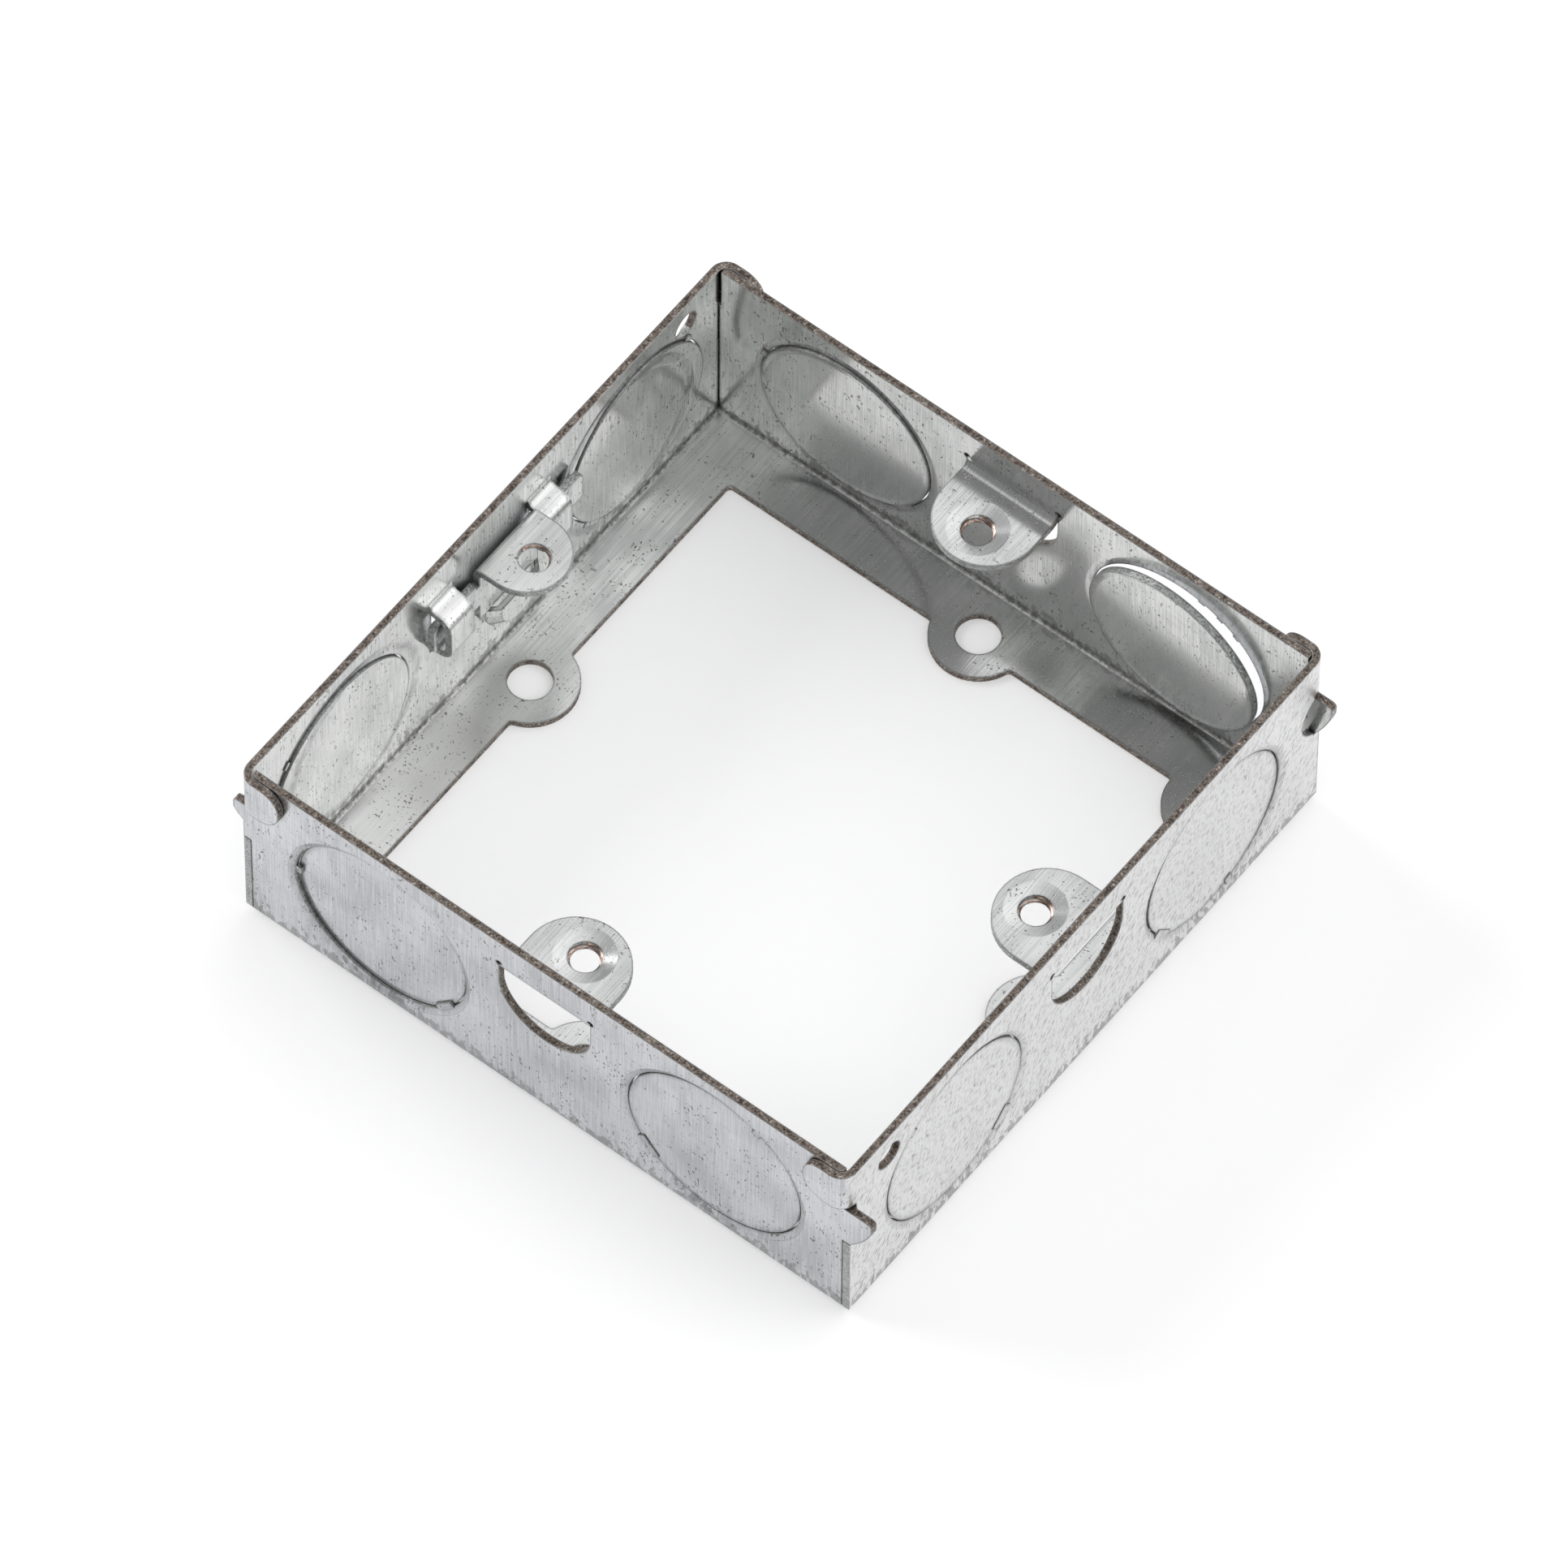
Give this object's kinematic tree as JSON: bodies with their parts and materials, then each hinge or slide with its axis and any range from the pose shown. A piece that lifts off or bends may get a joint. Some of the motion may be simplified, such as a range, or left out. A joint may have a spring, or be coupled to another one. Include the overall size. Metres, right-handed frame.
{
  "type": "electrical box extender",
  "caption": "Square sheet-steel ring that deepens a flush wall box, with cable knockouts in its walls, tapped lugs for the cover plate and one lug that slides to level it.",
  "frame": {"origin": "middle of the open square, on the underside of the base flange", "axes": "+Z towards the cover plate and the open rim, -X is the wall that carries the sliding lug, +X and +Y meet at the corner with the earth hole"},
  "size_m": [0.0773, 0.0744, 0.025],
  "materials": {
    "galvanised_sheet": "galvanised, satin",
    "lug_sheet": "zinc plated, satin"
  },
  "bodies": {
    "box": {"folded_box": "galvanised_sheet"},
    "lug": {"sliding_lug": "lug_sheet"}
  },
  "joints": [
    {"name": "lug_slide", "type": "slide", "parent": "box", "child": "lug", "axis": [0, 1, 0], "range_m": [-0.0024, 0]}
  ]
}
